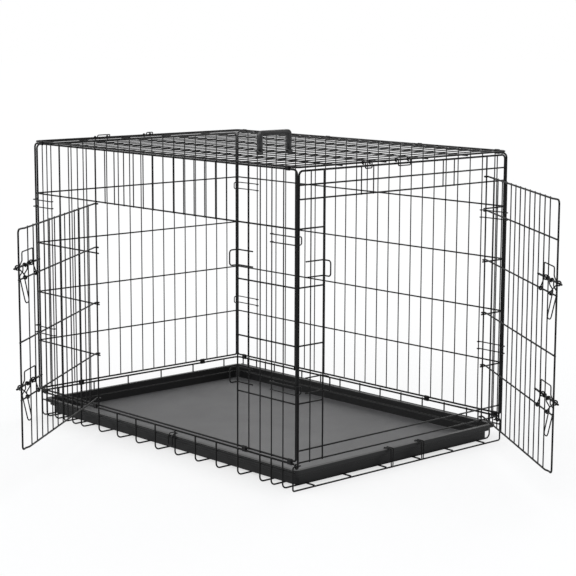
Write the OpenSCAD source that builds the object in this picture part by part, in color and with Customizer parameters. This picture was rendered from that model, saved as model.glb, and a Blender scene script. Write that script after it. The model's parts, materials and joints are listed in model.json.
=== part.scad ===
// Folding wire dog crate with two side-hinged doors, a slide-out tray and a
// carry handle. Millimetres, +Z up. The origin is on the floor under the
// middle of the base. X runs along the long side, and the front door is on -Y.

/* [Crate] */
// Length over the corner posts' centres
crate_length = 1061; // [1000:5:1120]
// Width over the front and back panels' centres
crate_width = 734; // [690:2:780]
// Height of the wire panels, bottom rail to top rail
panel_height = 687; // [640:1:730]
// Height of the panels' bottom rails above the floor
base_height = 75; // [70:1:90]
// Spaces between uprights of the front panel, and bars of the top panel
long_spaces = 26; // [26]
// Spaces between uprights of the back panel
back_spaces = 25; // [25]
// Spaces between uprights along the short side
short_spaces = 18; // [18]
// Spaces between rails up a panel
high_spaces = 5; // [5]

/* [Wire] */
// Wire of the panels' outer frames
frame_wire = 5; // [4.6:0.1:5.2]
// Wire of the horizontal rails
rail_wire = 4; // [3.6:0.1:4.2]
// Thin wire of the uprights
thin_wire = 3; // [2.6:0.1:3.2]
// Wire of the doorway posts
jamb_wire = 4; // [3.6:0.1:4.2]
// Wire of a door's outer frame
door_wire = 4.5; // [4.2:0.1:4.6]
// Wire of the base basket
base_wire = 4; // [3.6:0.1:4.2]
// Wire of hooks, catches and handles
hook_wire = 3; // [2.6:0.1:3.2]
// Wire of the striker loops
striker_wire = 3.5; // [3:0.1:3.6]
// Gap left at each welded crossing
weld_gap = 0.05; // [0.03:0.01:0.08]
// Running clearance inside a wire eye
eye_gap = 0.3; // [0.25:0.05:0.4]
// Gap from an end panel's posts to the front and back panels' posts
post_gap = 1.5; // [1.2:0.1:3]

/* [Front doorway] */
// Upright that latches the front door, counted from the right corner
front_latch_post = 5; // [5]
// Upright that hinges the front door, counted from the right corner
front_hinge_post = 19; // [19]
// Angle at which the front door stands open
front_open = 53.7; // [0:0.1:90]

/* [End doorway] */
// Upright that latches the end door, counted from the front corner
end_latch_post = 2; // [2]
// Upright that hinges the end door, counted from the front corner
end_hinge_post = 16; // [16]
// Angle at which the end door stands open
end_open = 56.8; // [0:0.1:90]
// Height of the end doorway's sill above the front panel's bottom rail
sill_height = 24; // [20:1:30]
// Drop from the top rail to the end doorway's header
header_drop = 69; // [64:1:74]
// Drop from the top rail to the end panel's second rail
second_drop = 36; // [32:1:40]
// How far the right end panel's bottom rail hangs below the front panel's
end_drop = 5; // [4:0.5:6]

/* [Doors] */
// Distance from the free post to the latching upright
free_post_gap = 12; // [10:1:14]
// Uprights in each door
door_bars = 13; // [13]
// Last space of a door, as a multiple of the others
latch_space = 1.6; // [1.4:0.1:1.8]
// How far the middle rails run past the free post
rail_overhang = 16; // [15:1:18]
// Corner radius at a door's free edge
door_corner = 9; // [8:1:14]
// Height of a door rail's eye over the panel rail beside it
eye_step = 5.5; // [5:0.5:7]
// Where a door's head and foot start their step out, before the free post
jog_start = 34; // [32:1:40]
// Where that step ends
jog_end = 20; // [18:1:24]
// Head of the end door above its doorway's header
head_lap = 14; // [12:1:16]
// Foot of the front door above the bottom rail
front_door_foot = 20; // [18:1:26]
// Third front door rail above its panel rail
front_door_lift = 16; // [14:1:20]

/* [Latches] */
// Height of a bolt above the door rail below it
latch_rise = 25; // [24:0.5:28]
// Bolt diameter
bolt_wire = 5; // [4.6:0.1:5.2]
// Bolt length
bolt_length = 175; // [168:1:180]
// Travel from drawn back to locked
bolt_travel = 40; // [36:1:42]
// Width of the wire handle
handle_width = 30; // [26:1:32]
// Drop of the wire handle below its bolt
handle_drop = 92; // [85:1:96]
// How far the handle's knees stand out beyond its eyes
handle_knee = 9; // [7:1:11]
// Drop from the bolt to the handle's knees
knee_drop = 28; // [26:1:32]
// Running clearance round a bolt in its guide
bolt_gap = 0.95; // [0.6:0.05:1.1]
// Clearance from a handle's eyes to the door's bars
handle_gap = 0.4; // [0.3:0.1:1]
// Distance from the guide's outer ring to the free post
ring_b_back = 9; // [8:0.5:10]
// Distance from the guide's shoulder to the free post
shoulder_back = 29; // [27:1:32]
// Height of the guide's upper loop above the bolt
guide_rise = 35; // [30:1:38]
// Width inside each striker loop, leg to leg
striker_gap = 37; // [34:1:40]
// Gap under a locked bolt inside its striker loop
striker_floor = 2.25; // [1.5:0.25:3]
// How far each striker loop stands out from the panel
striker_reach = 28; // [26:1:30]

/* [Corner hooks] */
// Distance between the two legs of a hook
hook_gap = 19; // [17:1:21]
// Upright that carries each hook, counted from the corner
hook_post = 2; // [2]
// Height of the lower hooks above the first rail
hook_rise = 33.6; // [29:0.1:40]
// Drop of the upper hooks below the last rail
hook_drop = 26.6; // [24:0.1:38]

/* [Tray] */
// Height of the tray's rim above its underside
tray_height = 40; // [34:1:42]
// Thickness of the tray
tray_wall = 2.6; // [2:0.1:3.5]
// Clearance from the tray to the wires round it
tray_gap = 4.2; // [4:0.1:5]
// Width of the rim's flat top
rim_width = 9; // [7:1:11]

/* [Carry handle] */
// Width over the handle's feet
grip_width = 116; // [106:1:118]
// Height of the handle above its wire
grip_height = 56; // [50:1:60]
// Thickness of the grip
grip_size = 13; // [11:0.5:14]
// Diameter of the feet
grip_foot = 12; // [10:0.5:13]
// Distance that the round grip stops short of each end of the handle
grip_stop = 17; // [15:1:20]
// Upright that the handle pivots on, counted from the right end
grip_post = 9; // [9]
// Middle of the handle, in front of the crate's middle
grip_offset = 106; // [100:1:110]

/* [Hidden] */
$fn = 32;

coated = "#1b1c1e";
worn = "#2a2b2d";
plastic = "#202123";

long_pitch = crate_length / long_spaces;
back_pitch = crate_length / back_spaces;
short_pitch = crate_width / short_spaces;
rail_pitch = panel_height / high_spaces;
rf = frame_wire / 2;
rr = rail_wire / 2;
rt = thin_wire / 2;
rj = jamb_wire / 2;
rd = door_wire / 2;
rb = base_wire / 2;
rh = hook_wire / 2;
rs = striker_wire / 2;
half_x = crate_length / 2;
half_y = crate_width / 2;

// Layers of a panel, measured outwards from its frame's plane
rail_layer = rf - rr;
bar_layer = rf + weld_gap + rt;
jamb_layer = rf + weld_gap + rj;

panel_corner = 11;
foot_corner = 6;
end_inset = 2 * rf + post_gap;
end_height = panel_height - 2 * rh - eye_gap - 0.2;
end_width = crate_width - 2 * end_inset;
door_header = high_spaces - 1;
hook_low = rail_pitch + hook_rise;
hook_high = (high_spaces - 1) * rail_pitch - hook_drop;

// Base
rim_drop = 8;
rim_z = base_height - rim_drop;
rim_corner = 16;
cross_corner = 12;
cross_z = rb;
long_z = cross_z + 2 * rb + weld_gap;
riser_y = half_y + rf + rb + weld_gap;
mid_rail_z = 46;
pin_z = base_height - end_drop - rf - rb - 5;
eye_r = rb + eye_gap + rf;
pin_x = half_x - eye_r;
pin_reach = 22;

// Top panel
top_z = base_height + panel_height + 2 * rf + 0.3;

// Door, measured from its hinge post: along, up and outwards
front_door_w = (front_hinge_post - front_latch_post) * long_pitch - free_post_gap;
end_door_w = (end_hinge_post - end_latch_post) * short_pitch - free_post_gap;
door_rail_layer = rj + eye_gap + rd;
door_face = door_rail_layer + rd;
door_bar_layer = door_face + weld_gap + rt;
free_post_layer = door_face + weld_gap + rd;
mid_rail_layer = door_face - rr;
bolt_layer = door_bar_layer + rt + handle_gap + 2 * rh + eye_gap + bolt_wire / 2;
guide_layer = door_bar_layer + rt + weld_gap + rs;
front_rails = [
    front_door_foot, rail_pitch + eye_step, 2 * rail_pitch + eye_step,
    3 * rail_pitch + front_door_lift, door_header * rail_pitch - eye_step
];
end_rails = [
    end_drop, rail_pitch + eye_step, 2 * rail_pitch + eye_step,
    3 * rail_pitch + eye_step, 4 * rail_pitch - eye_step, panel_height - header_drop + head_lap
];
// Which rails the upper and lower latches stand over
latch_rails = [3, 1];
striker_bend = rj + 0.25 + rs;
eye_turn = 262;
nick = 0.1;

function snap(x) = round(x * 100) / 100;
function unit(v) = v / norm(v);
function turn(a, b) = acos(max(-1, min(1, a * b)));
function on_axis(v) = max([for (x = v) abs(x)]) > 0.999999;
function side_of(v) = abs(v.z) < 0.9 ? [0, 0, 1] : [1, 0, 0];

// ---------------------------------------------------------------- helpers

// Puts its children in the frame with origin o and axes x and y
module frame_at(o, x, y) {
    z = cross(x, y);
    multmatrix([
        [x.x, y.x, z.x, o.x],
        [x.y, y.y, z.y, o.y],
        [x.z, y.z, z.z, o.z],
        [0, 0, 0, 1]
    ]) children();
}

// Straight wire from a to b
module rod(a, b, d) {
    z = unit(b - a);
    x = unit(cross(z, side_of(z)));
    frame_at(a, x, cross(z, x)) cylinder(d = d, h = norm(b - a));
}

// Part of a ring of wire about c, starting in direction x and turning towards y
module curl(c, x, y, r, d, angle) {
    frame_at(c, x, y) rotate_extrude(angle = angle) translate([r, 0]) circle(d = d);
}

// Eye at the end of a wire, curled about c from direction x towards y
module eye(c, x, y, r, d) curl([for (v = c) snap(v)], x, y, r, d, eye_turn);

// Bend between the directions a and b at the corner p
module bend(p, a, b, d, r) {
    c = p + unit(b - a) * r / cos(turn(a, b) / 2);
    curl(c, unit(p - a * r * tan(turn(a, b) / 2) - c), a, r, d, turn(a, b));
}

// Slightly thicker collar that joins a rod to a slanting bend of radius r
module collar(p, a, d, r) {
    half = sqrt(0.012 * d * r);
    rod(p - a * half, p + a * half, d * 1.03);
}

// Wire through the points, to a hundredth of a millimetre, with every corner
// bent at radius r. Corners that don't run along the axes get collars
module wire(points, d, r) {
    p = [for (q = points) [for (x = q) snap(x)]];
    last = len(p) - 1;
    dirs = [for (i = [0 : last - 1]) unit(p[i + 1] - p[i])];
    cut = [for (i = [0 : last]) i == 0 || i == last ? 0 : r * tan(turn(dirs[i - 1], dirs[i]) / 2)];
    slanting = [
        for (i = [0 : last])
            i > 0 && i < last && !(on_axis(dirs[i - 1]) && on_axis(dirs[i]))
    ];
    for (i = [0 : last - 1])
        rod(
            p[i] + dirs[i] * (cut[i] + (slanting[i] ? nick : 0)),
            p[i + 1] - dirs[i] * (cut[i + 1] + (slanting[i + 1] ? nick : 0)), d
        );
    for (i = [1 : last - 1]) {
        bend(p[i], dirs[i - 1], dirs[i], d, r);
        if (slanting[i]) {
            collar(p[i] - dirs[i - 1] * cut[i], dirs[i - 1], d, r);
            collar(p[i] + dirs[i] * cut[i], dirs[i], d, r);
        }
    }
}

// Closed rectangle of wire in the XY plane, with corner radii for its foot and head
module wire_frame(size, d, foot, head) {
    r = [foot, foot, head, head];
    p = [[0, 0, 0], [size.x, 0, 0], [size.x, size.y, 0], [0, size.y, 0]];
    for (i = [0 : 3]) {
        a = unit(p[i] - p[(i + 3) % 4]);
        b = unit(p[(i + 1) % 4] - p[i]);
        bend(p[i], a, b, d, r[i]);
        rod(p[i] + b * r[i], p[(i + 1) % 4] - b * r[(i + 1) % 4], d);
    }
}

// Upright wire of a panel
module bar(u, v0, v1, d, w) translate([u, v0, w]) rotate([-90, 0, 0]) cylinder(d = d, h = v1 - v0);

// Horizontal wire of a panel
module rail(v, u0, u1, d, w) translate([u0, v, w]) rotate([0, 90, 0]) cylinder(d = d, h = u1 - u0);

// Rectangle with round corners
module round_plate(size, r) {
    square([size.x - 2 * r, size.y], center = true);
    square([size.x, size.y - 2 * r], center = true);
    for (x = [-1, 1], y = [-1, 1])
        translate([x * (size.x / 2 - r), y * (size.y / 2 - r)]) circle(r);
}

// ------------------------------------------------------- where panels stand

// Each panel is drawn in its own plane: u along, v up, w outwards
module at_front() frame_at([-half_x, -half_y, base_height], [1, 0, 0], [0, 0, 1]) children();
module at_back() frame_at([half_x, half_y, base_height], [-1, 0, 0], [0, 0, 1]) children();
module at_right() frame_at([half_x, -half_y, base_height], [0, 1, 0], [0, 0, 1]) children();
module at_left() frame_at([-half_x, half_y, base_height], [0, -1, 0], [0, 0, 1]) children();
module at_top() frame_at([-half_x, -half_y, top_z], [1, 0, 0], [0, 1, 0]) children();

// A door is drawn closed, measured from its hinge post, and then swung open
module on_front_door()
    at_front()
        translate([crate_length - front_hinge_post * long_pitch, 0, jamb_layer])
            rotate([0, -front_open, 0]) children();
module on_end_door()
    at_right()
        translate([end_hinge_post * short_pitch, 0, jamb_layer])
            mirror([1, 0, 0]) rotate([0, -end_open, 0]) children();

// ------------------------------------------------------------------ panels

// Full panel of uprights at every space and a rail at every level
module plain_panel(length, height, spaces, inset) {
    translate([inset, 0, 0])
        wire_frame([length - 2 * inset, height], frame_wire, foot_corner, panel_corner);
    start = inset + rf + weld_gap;
    for (i = [1 : high_spaces - 1])
        rail(i * rail_pitch, start, length - start, rail_wire, rail_layer);
    for (i = [1 : spaces - 1])
        bar(i * length / spaces, -rf, height + rf, thin_wire, bar_layer);
}

module front_panel() {
    latch_u = crate_length - front_latch_post * long_pitch;
    hinge_u = crate_length - front_hinge_post * long_pitch;
    header_v = door_header * rail_pitch;
    stub = rj + 2;
    color(coated) at_front() {
        wire_frame([crate_length, panel_height], frame_wire, foot_corner, panel_corner);
        rail(header_v, rf + weld_gap, crate_length - rf - weld_gap, rail_wire, rail_layer);
        for (i = [1 : door_header - 1]) {
            rail(i * rail_pitch, rf + weld_gap, hinge_u + stub, rail_wire, rail_layer);
            rail(i * rail_pitch, latch_u - stub, crate_length - rf - weld_gap, rail_wire, rail_layer);
        }
        for (u = [latch_u, hinge_u])
            bar(u, -rf, panel_height + rf, jamb_wire, jamb_layer);
        for (i = [1 : long_spaces - 1]) {
            from_right = long_spaces - i;
            over_door = from_right > front_latch_post && from_right < front_hinge_post;
            low = over_door ? header_v - rr : -rf;
            if (from_right != front_latch_post && from_right != front_hinge_post)
                bar(i * long_pitch, low, panel_height + rf, thin_wire, bar_layer);
        }
    }
}

module back_panel() {
    color(coated) at_back() plain_panel(crate_length, panel_height, back_spaces, 0);
}

module left_end_panel() {
    color(coated) at_left() plain_panel(crate_width, end_height, short_spaces, end_inset);
}

module right_end_panel() {
    latch_u = end_latch_post * short_pitch;
    hinge_u = end_hinge_post * short_pitch;
    header_v = panel_height - header_drop;
    left_u = end_inset;
    right_u = crate_width - end_inset;
    stub = rj + 2;
    foot_v = -end_drop;
    eye_v = pin_z - base_height;
    over_posts = [5, 6, 12, 13];
    color(coated) at_right() {
        // Posts and top rail are one wire, whose feet are curled round the base's pins
        wire([
            [left_u, eye_v, 0], [left_u, end_height, 0],
            [right_u, end_height, 0], [right_u, eye_v, 0]
        ], frame_wire, panel_corner);
        for (u = [left_u, right_u])
            eye([u, eye_v, -eye_r], [0, 0, 1], [0, -1, 0], eye_r, frame_wire);
        for (v = [foot_v, sill_height, header_v, panel_height - second_drop])
            rail(v, left_u + rf + weld_gap, right_u - rf - weld_gap, rail_wire, rail_layer);
        for (i = [1 : high_spaces - 1]) {
            rail(i * rail_pitch, left_u + rf + weld_gap, latch_u + stub, rail_wire, rail_layer);
            rail(i * rail_pitch, hinge_u - stub, right_u - rf - weld_gap, rail_wire, rail_layer);
        }
        for (u = [latch_u, hinge_u])
            bar(u, foot_v - rr, end_height + rf, jamb_wire, jamb_layer);
        for (i = [1, short_spaces - 1])
            bar(i * short_pitch, foot_v - rr, end_height + rf, thin_wire, bar_layer);
        for (i = over_posts)
            bar(i * short_pitch, header_v - rr, end_height + rf, thin_wire, bar_layer);
    }
}

// Bars lie in the plane of the frame, with the rails under them
module top_panel() {
    start = rf + weld_gap;
    under_bars = -rt - weld_gap - rr;
    color(coated) at_top() {
        wire_frame([crate_length, crate_width], frame_wire, 14, 14);
        for (i = [1 : high_spaces - 1])
            rail(i * crate_width / high_spaces, start, crate_length - start, rail_wire, under_bars);
        for (i = [1 : long_spaces - 1])
            bar(i * long_pitch, start, crate_width - start, thin_wire, 0);
    }
}

// -------------------------------------------------------------------- base

module base_frame() {
    cross_marks = [1, 2, 3, 5, 7, 9, 11, 13, 15, 17, 19, 21, 22, 23, 24, 25];
    long_marks = [1.5, 4.5, 7.5, 10.5, 13.5, 16.5];
    riser_top = rim_z + rf;
    left_x = -half_x + rim_corner + rb + 1;
    rise_x = -half_x + rf + rb + weld_gap;
    pin_y = riser_y - pin_reach - rf;
    color(coated) {
        // Rim along the front, the left end and the back
        wire([
            [pin_x - rb - weld_gap, -half_y, rim_z], [-half_x, -half_y, rim_z],
            [-half_x, half_y, rim_z], [pin_x - rb - weld_gap, half_y, rim_z]
        ], frame_wire, rim_corner);
        for (y = [-half_y, half_y])
            rod([-half_x + rim_corner, y, mid_rail_z], [pin_x + rb + 2, y, mid_rail_z], base_wire);
        // Cross wires, each bent up outside the rim at both ends
        for (x = concat([for (m = cross_marks) half_x - m * long_pitch], [left_x]))
            wire([
                [x, -riser_y, riser_top], [x, -riser_y, cross_z],
                [x, riser_y, cross_z], [x, riser_y, riser_top]
            ], base_wire, cross_corner);
        // Right end wire, whose ends turn inwards as pins for the end panel
        wire([
            [pin_x, -pin_y, pin_z], [pin_x, -riser_y, pin_z], [pin_x, -riser_y, cross_z],
            [pin_x, riser_y, cross_z], [pin_x, riser_y, pin_z], [pin_x, pin_y, pin_z]
        ], base_wire, 5);
        // Long wires over the cross wires, bent up inside the left end of the rim
        for (m = long_marks)
            translate([0, -half_y + m * short_pitch, 0])
                wire([
                    [rise_x, 0, riser_top], [rise_x, 0, long_z], [pin_x + rb + 2, 0, long_z]
                ], base_wire, cross_corner);
    }
}

// -------------------------------------------------------------------- tray

tray_z = long_z + rb + 0.3;
tray_left = -half_x + rf + 2 * rb + weld_gap + tray_gap;
tray_right = half_x - 8;
tray_size = [tray_right - tray_left, crate_width - 2 * rb - 2 * tray_gap];
tray_mid = (tray_left + tray_right) / 2;
tray_corner = 14;
ledge_drop = 16;
ledge_width = 8;

module tray_layer(z0, z1, inset)
    translate([tray_mid, 0, tray_z + z0])
        linear_extrude(z1 - z0)
            round_plate([tray_size.x - 2 * inset, tray_size.y - 2 * inset], tray_corner - inset / 4);

module tray() {
    ledge_z = tray_height - ledge_drop;
    lip = 9;
    color(plastic) difference() {
        union() {
            tray_layer(tray_height - tray_wall, tray_height, 0);
            tray_layer(tray_height - lip, tray_height - tray_wall, 0);
            tray_layer(ledge_z - tray_wall, tray_height - lip, rim_width);
            tray_layer(0, ledge_z - tray_wall, rim_width + ledge_width);
        }
        difference() {
            tray_layer(tray_height - lip - 1, tray_height - tray_wall, tray_wall);
            tray_layer(tray_height - lip - 2, tray_height, rim_width);
        }
        tray_layer(ledge_z, tray_height + 1, rim_width + tray_wall);
        tray_layer(tray_wall, tray_height + 1, rim_width + ledge_width + tray_wall);
    }
}

// ------------------------------------------------------------------- doors

// Door drawn closed: s from the hinge post, v up, w outwards
module door(width, rails) {
    pitch = width / (door_bars + latch_space);
    foot = rails[0];
    head = rails[len(rails) - 1];
    jog = width - jog_start;
    out = width - jog_end;
    outline = [
        [0, head, door_rail_layer], [jog, head, door_rail_layer], [out, head, free_post_layer],
        [width, head, free_post_layer], [width, foot, free_post_layer], [out, foot, free_post_layer],
        [jog, foot, door_rail_layer], [0, foot, door_rail_layer]
    ];
    wire(outline, door_wire, door_corner);
    for (v = [foot, head])
        eye([0, v, 0], [0, 0, 1], [-1, 0, 0], door_rail_layer, door_wire);
    for (i = [1 : len(rails) - 2]) {
        eye([0, rails[i], 0], [0, 0, 1], [-1, 0, 0], mid_rail_layer, rail_wire);
        rail(rails[i], 0, width + rail_overhang, rail_wire, mid_rail_layer);
    }
    for (i = [1 : door_bars])
        bar(i * pitch, foot - rd, head + rd, thin_wire, door_bar_layer);
}

module front_door() {
    color(coated) on_front_door()
        door(front_door_w, front_rails);
}

module end_door() {
    color(coated) on_end_door()
        door(end_door_w, end_rails);
}

// ----------------------------------------------------------------- latches

// Places along the door, measured back from its free post
handle_back = ring_b_back + rs + 2 + bolt_travel + handle_width / 2 + 2 * rh + 2;
function ring_a(width) = (door_bars - 1) * width / (door_bars + latch_space) - rt - 0.3 - rs;
bolt_eye = bolt_wire / 2 + bolt_gap + rs;
striker_lift = striker_gap / 2 - rs - bolt_wire / 2 - striker_floor;
rail_eye = rr + 0.2 + rs;

// Ring of wire about the s axis
module cross_ring(s, v, w, r, d)
    translate([s, v, w]) rotate([0, 90, 0]) rotate_extrude() translate([r, 0]) circle(d = d);

// Bell-shaped guide that carries a bolt on the door's outer side
module guide(width, v) {
    sb = width - ring_b_back - ring_a(width);
    st = width - shoulder_back - ring_a(width);
    step = sqrt(bolt_eye * bolt_eye - pow(bolt_layer - guide_layer, 2));
    leg = striker_wire - 0.4;
    leg_drop = latch_rise - rail_eye;
    translate([ring_a(width), v, 0]) {
        cross_ring(0, 0, bolt_layer, bolt_eye, striker_wire);
        cross_ring(sb, 0, bolt_layer, bolt_eye, striker_wire);
        wire([
            [0, step, guide_layer], [0, guide_rise, guide_layer], [st, guide_rise, guide_layer],
            [st, guide_rise * 0.4, guide_layer], [sb, step, guide_layer]
        ], leg, 5);
        wire([[0, -step, guide_layer], [0, -leg_drop, mid_rail_layer]], leg, 5);
        wire([
            [sb, -step, guide_layer], [st, -leg_drop * 0.6, guide_layer],
            [st, -leg_drop, mid_rail_layer]
        ], leg, 5);
        for (s = [0, st])
            cross_ring(s, -latch_rise, mid_rail_layer, rail_eye, striker_wire);
    }
}

// Sliding bolt with shoulders that trap its handle
module bolt(width, v) {
    tip = width + free_post_gap + striker_bend - rs - 0.6;
    sh = width - handle_back;
    half = handle_width / 2 + rh + 0.3;
    translate([tip - bolt_length, v, bolt_layer]) rotate([0, 90, 0]) {
        cylinder(d = bolt_wire, h = bolt_length - bolt_wire / 2);
        translate([0, 0, bolt_length - bolt_wire / 2]) sphere(d = bolt_wire);
    }
    for (s = [sh - half - 2, sh + half])
        translate([s, v, bolt_layer]) rotate([0, 90, 0]) cylinder(d = bolt_wire + 2, h = 2);
}

// Wire handle that hangs from a bolt
module bolt_handle(width, v) {
    half = handle_width / 2;
    r = bolt_wire / 2 + eye_gap + rh;
    translate([width - handle_back, v, bolt_layer]) {
        for (s = [-half, half])
            eye([s, 0, 0], [0, 0, 1], [0, 1, 0], r, hook_wire);
        wire([
            [-half, 0, r], [-half, -knee_drop / 2, r], [-half, -knee_drop, r + handle_knee],
            [-half + 2, -handle_drop, 0],
            [half - 2, -handle_drop, 0],
            [half, -knee_drop, r + handle_knee], [half, -knee_drop / 2, r], [half, 0, r]
        ], hook_wire, 9);
    }
}

// Loop that a locked bolt passes through, drawn from the latching upright, towards the corner
module striker(v, pitch) {
    seat = bar_layer - jamb_layer + rt + weld_gap + rs;
    half = striker_gap / 2;
    tail = 1.45 * pitch;
    wire([
        [tail, v + half, seat], [striker_bend, v + half, seat],
        [striker_bend, v + half, striker_reach], [striker_bend, v - half, striker_reach],
        [striker_bend, v - half, seat], [tail, v - half, seat]
    ], striker_wire, 7);
}

module front_strikers() {
    color(coated) at_front()
        translate([crate_length - front_latch_post * long_pitch, 0, jamb_layer])
            for (i = [0, 1]) striker(front_latch(i) + striker_lift, long_pitch);
}

module end_strikers() {
    color(coated) at_right()
        translate([end_latch_post * short_pitch, 0, jamb_layer])
            mirror([1, 0, 0])
                for (i = [0, 1]) striker(end_latch(i) + striker_lift, short_pitch);
}

function front_latch(i) = front_rails[latch_rails[i]] + latch_rise;
function end_latch(i) = end_rails[latch_rails[i]] + latch_rise;

module front_guide(i) color(coated) on_front_door() guide(front_door_w, front_latch(i));
module front_bolt(i) color(worn) on_front_door() bolt(front_door_w, front_latch(i));
module front_handle(i) color(worn) on_front_door() bolt_handle(front_door_w, front_latch(i));
module end_guide(i) color(coated) on_end_door() guide(end_door_w, end_latch(i));
module end_bolt(i) color(worn) on_end_door() bolt(end_door_w, end_latch(i));
module end_handle(i) color(worn) on_end_door() bolt_handle(end_door_w, end_latch(i));

// ------------------------------------------------------------ corner hooks

// Hook drawn from its upright towards the corner, on the panel's outer side
module corner_hook(reach, v) {
    r = rt + eye_gap + rh;
    run = bar_layer + r;
    tip = reach + rf + 0.5 + rh;
    back = -end_inset - rf - 2;
    half = hook_gap / 2;
    wire([
        [0, v + half, run], [tip, v + half, run], [tip, v + half, back],
        [tip, v - half, back], [tip, v - half, run], [0, v - half, run]
    ], hook_wire, 4.5);
    for (s = [-1, 1])
        eye([0, v + s * half, bar_layer], [0, 0, 1], [-1, 0, 0], r, hook_wire);
}

module right_hook_of_front(v)
    color(worn) at_front() translate([crate_length - hook_post * long_pitch, 0, 0])
        corner_hook(hook_post * long_pitch, v);
module left_hook_of_front(v)
    color(worn) at_front() translate([hook_post * long_pitch, 0, 0]) mirror([1, 0, 0])
        corner_hook(hook_post * long_pitch, v);
module right_hook_of_back(v)
    color(worn) at_back() translate([hook_post * back_pitch, 0, 0]) mirror([1, 0, 0])
        corner_hook(hook_post * back_pitch, v);
module left_hook_of_back(v)
    color(worn) at_back() translate([crate_length - hook_post * back_pitch, 0, 0])
        corner_hook(hook_post * back_pitch, v);

// --------------------------------------------------------------- top hooks

// Hook whose eyes turn on the top panel's end wire and whose loop drops outside
// the end panel's top rail. Drawn at the right end, leaning out by the lean angle
module top_hook(width) {
    r = rf + eye_gap + rh;
    half = width / 2;
    lean = 45;
    out = 6.3;
    drop = 12.4;
    low = [r - drop * sin(lean), -out - drop * cos(lean)];
    rotate([0, -lean, 0]) {
        for (s = [-half, half])
            eye([0, s, 0], [1, 0, 0], [0, 0, 1], r, hook_wire);
        wire([
            [r, -half, 0], [r, -half, -out], [low.x, -half, low.y],
            [low.x, half, low.y], [r, half, -out], [r, half, 0]
        ], hook_wire, 3);
    }
}

wide_hook = 42;
narrow_hook = 22;
right_wide_y = -half_y + 8.5 * short_pitch;
right_narrow_y = -half_y + 5.5 * short_pitch;
left_wide_y = -half_y + 5.5 * short_pitch;
left_narrow_y = -half_y + 9.5 * short_pitch;
parked = 210;

module hook_at_right(y, width)
    color(worn) translate([half_x, y, top_z]) top_hook(width);
module hook_at_left(y, width)
    color(worn) translate([-half_x, y, top_z]) rotate([0, parked, 0]) mirror([1, 0, 0]) top_hook(width);

// ------------------------------------------------------------- hinge clips

clip_length = 13;
clip_wall = 1;
clip_gap = 0.15;

// Sheet strip folded round two parallel wires, one above the other
module hinge_clip(spacing, lower_r, upper_r) {
    module slot(grow) {
        circle(lower_r + grow);
        translate([0, spacing]) circle(upper_r + grow);
        waist = min(lower_r, upper_r) + grow;
        translate([-waist, 0]) square([2 * waist, spacing]);
    }
    rotate([90, 0, 90]) linear_extrude(clip_length, center = true) difference() {
        slot(clip_gap + clip_wall);
        slot(clip_gap);
    }
}

module long_clips(marks, y, z, spacing) {
    color(worn)
        for (m = marks)
            translate([half_x - m * long_pitch, y, z]) hinge_clip(spacing, rf, rf);
}

rail_top = base_height + panel_height;
module front_top_clips() long_clips([0.78, 25.22], -half_y, rail_top, top_z - rail_top);
module back_top_clips() long_clips([0.78, 7.5, 16.32, 25.22], half_y, rail_top, top_z - rail_top);
module front_base_clips() long_clips([0.5, 4.5, 19.5, 25.27], -half_y, rim_z, rim_drop);
module back_base_clips() long_clips([0.5, 6.5, 19.5, 25.27], half_y, rim_z, rim_drop);

module left_end_clips() {
    marks = [3.5, 14.5];
    color(worn)
        for (m = marks)
            translate([-half_x, -half_y + m * short_pitch, rim_z]) rotate([0, 0, 90])
                hinge_clip(rim_drop, rf, rf);
}

// -------------------------------------------------------- tray clips, stop

tray_clip_marks = [8, 10.7];

// Narrow loop of wire hung over the tray's right rim, outside the base's end wire
module tray_clip(y) {
    rim_top = tray_z + tray_height;
    half = 4.5;
    over = rim_top + 0.3 + rh;
    outside = pin_x + rb + 0.8 + rh;
    inside = tray_right - rim_width - tray_wall - 3 - rh;
    low = 1.5 + rh;
    color(worn) wire([
        [inside, y - half, rim_top - 6], [inside, y - half, over], [outside, y - half, over],
        [outside, y - half * 0.6, low], [outside, y + half * 0.6, low],
        [outside, y + half, over], [inside, y + half, over], [inside, y + half, rim_top - 6]
    ], hook_wire, 2.6);
}

// Wire stop on the front of the base: a finger loop that reaches over the tray
module tray_finger_stop() {
    x = half_x - 11.5 * long_pitch;
    y = -half_y;
    half = 8;
    over = tray_z + tray_height + 5 + rh - mid_rail_z;
    r = rb + eye_gap + rh;
    translate([x, y, mid_rail_z]) color(worn) {
        for (s = [-half, half])
            eye([s, 0, 0], [0, -1, 0], [0, 0, 1], r, hook_wire);
        wire([[-half, -r, 0], [-half, -r, -22], [half, -r, -22], [half, -r, 0]], hook_wire, 5);
        wire([
            [-half, 0, r], [-half, 0, over], [-half, 15, over],
            [half, 15, over], [half, 0, over], [half, 0, r]
        ], hook_wire - 0.4, 3);
    }
}

// ------------------------------------------------------------ carry handle

module carry_handle() {
    foot_length = 15;
    leg = 11;
    half = grip_width / 2;
    bore = rt + 0.1;
    color(plastic) translate([half_x - grip_post * long_pitch, -grip_offset, top_z]) difference() {
        union() {
            // Grip and legs
            rotate([90, 0, 90]) linear_extrude(leg, center = true) difference() {
                translate([0, grip_height / 2]) round_plate([grip_width - 6, grip_height], 9);
                translate([0, grip_height / 2 - grip_size / 2 - 8])
                    round_plate([grip_width - 6 - 2 * leg, grip_height - grip_size + 16], 5);
            }
            translate([0, 0, grip_height - grip_size / 2]) rotate([90, 0, 0])
                cylinder(d = grip_size, h = grip_width - 2 * grip_stop, center = true);
            // Feet round the wire
            for (s = [-1, 1])
                translate([0, s * (half - foot_length / 2), 0]) rotate([90, 0, 0])
                    cylinder(d = grip_foot, h = foot_length, center = true);
        }
        rotate([90, 0, 0]) cylinder(r = bore, h = grip_width + 2, center = true);
    }
}

// ------------------------------------------------------------------- nodes

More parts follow.
